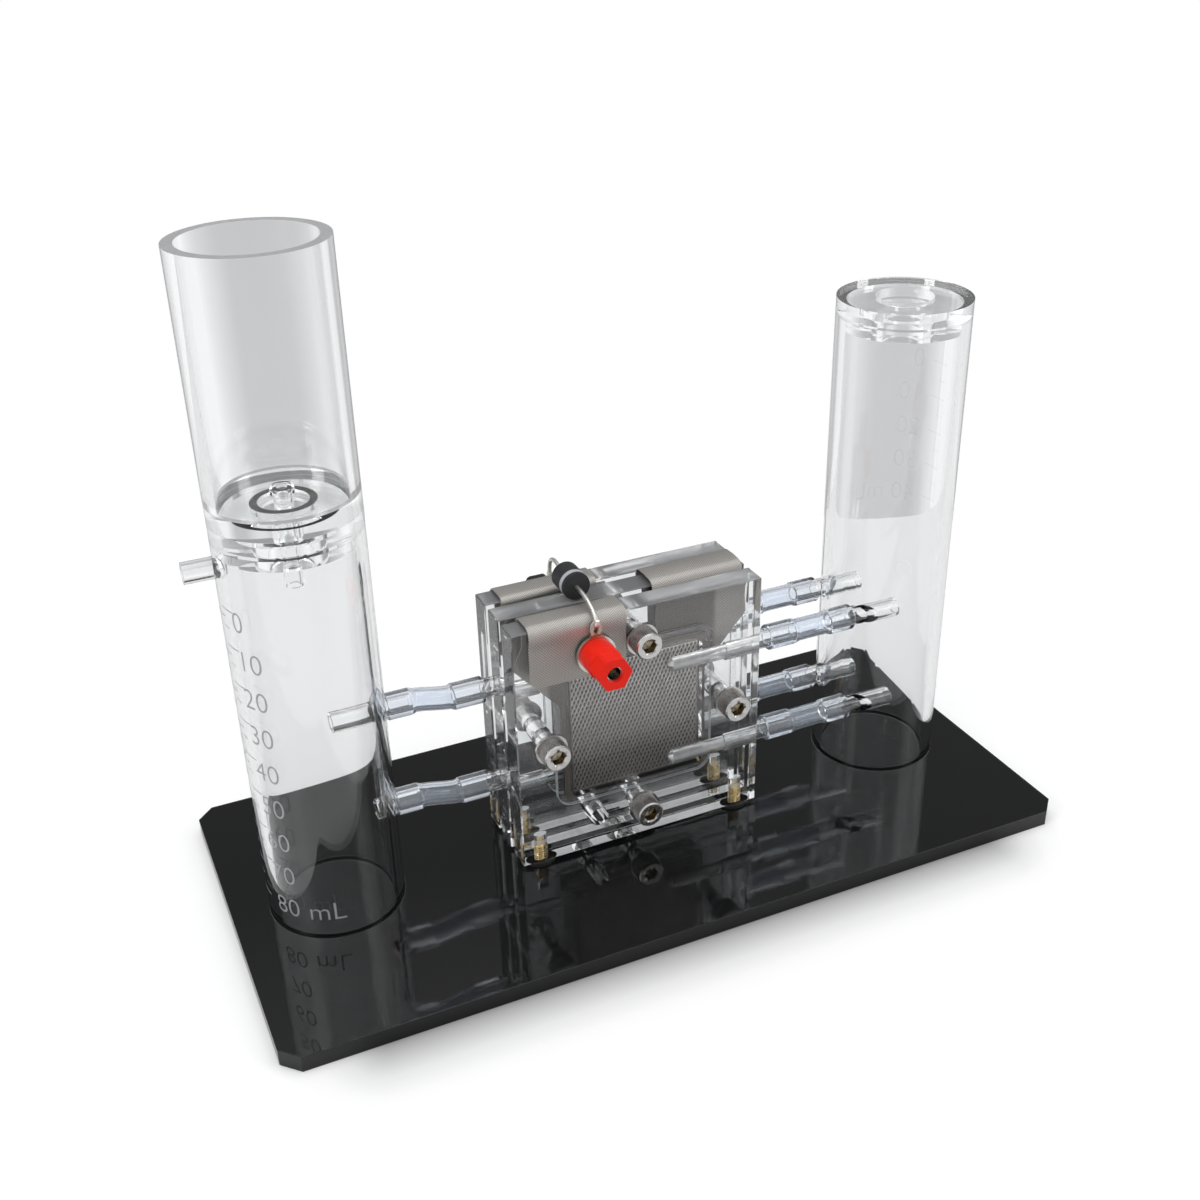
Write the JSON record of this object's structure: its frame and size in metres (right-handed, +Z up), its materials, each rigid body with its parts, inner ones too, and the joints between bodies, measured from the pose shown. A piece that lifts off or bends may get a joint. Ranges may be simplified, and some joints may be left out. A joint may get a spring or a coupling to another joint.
{
  "type": "proton exchange membrane electrolyzer",
  "caption": "Tabletop water electrolyzer: a clamped clear-plate membrane cell stack piped to graduated gas cylinders on a black base, with a lift-off overflow tank.",
  "frame": {"origin": "middle of the base plate's underside, on the table", "axes": "+Z up, +X along the base towards the oxygen cylinder, -Y towards the front with the red socket"},
  "size_m": [0.25, 0.12, 0.2],
  "materials": {
    "black_acrylic": "polished black sheet",
    "clear_acrylic": "polished clear acrylic",
    "clear_hose": "soft clear tubing",
    "brass": "turned",
    "stainless_steel": "satin, knurled heads",
    "expanded_metal": "expanded sheet",
    "woven_metal": "fine woven cloth",
    "gasket_rubber": "clear silicone",
    "black_rubber": "matte",
    "electrode_black": "porous black coating",
    "membrane_film": "thin film",
    "red_plastic": "satin moulded",
    "black_plastic": "satin moulded",
    "nickel": "nickel plated",
    "tinned_metal": "tinned",
    "diode_black": "moulded",
    "band_silver": "printed band"
  },
  "bodies": {
    "frame": {"base_plate": "black_acrylic", "stack_screws": "brass", "foot_washers": "black_rubber", "front_end_plate": "clear_acrylic", "middle_plate": "clear_acrylic", "rear_end_plate": "clear_acrylic", "front_plate_flow_mesh": "expanded_metal", "middle_front_flow_mesh": "expanded_metal", "middle_rear_flow_mesh": "expanded_metal", "rear_plate_flow_mesh": "expanded_metal", "plus_collector": "woven_metal", "bridge_collector": "woven_metal", "minus_collector": "woven_metal", "front_cell_gaskets": "gasket_rubber", "rear_cell_gaskets": "gasket_rubber", "front_cell_electrodes": "electrode_black", "rear_cell_electrodes": "electrode_black", "front_membrane": "membrane_film", "rear_membrane": "membrane_film", "clamp_bolts": "stainless_steel", "head_washers": "stainless_steel", "rear_washers": "stainless_steel", "clamp_nuts": "stainless_steel", "locating_dowel": "clear_acrylic", "plus_socket_head": "red_plastic", "minus_socket_head": "black_plastic", "plus_socket_bush": "nickel", "minus_socket_bush": "nickel", "plus_socket_washer": "nickel", "minus_socket_washer": "nickel", "plus_solder_lug": "tinned_metal", "minus_solder_lug": "tinned_metal", "diode_body": "diode_black", "diode_band": "band_silver", "diode_leads": "tinned_metal", "h2_cylinder": "clear_acrylic", "h2_cap": "clear_acrylic", "h2_outlet_spout": "clear_acrylic", "h2_cylinder_nozzles": "clear_acrylic", "h2_stack_nozzles": "clear_acrylic", "h2_upper_hose": "clear_hose", "h2_lower_hose": "clear_hose", "o2_cylinder": "clear_acrylic", "o2_cap": "clear_acrylic", "o2_cylinder_nozzles": "clear_acrylic", "o2_stack_nozzles": "clear_acrylic", "o2_front_upper_hose": "clear_hose", "o2_front_lower_hose": "clear_hose", "o2_rear_upper_hose": "clear_hose", "o2_rear_lower_hose": "clear_hose"},
    "tank": {"tank_wall": "clear_acrylic", "tank_floor": "clear_acrylic", "tank_o_ring": "black_rubber", "riser_tube": "clear_acrylic"}
  },
  "joints": [
    {"name": "tank_lift", "type": "slide", "parent": "frame", "child": "tank", "axis": [0, 0, 1], "range_m": [0, 0.04]}
  ]
}
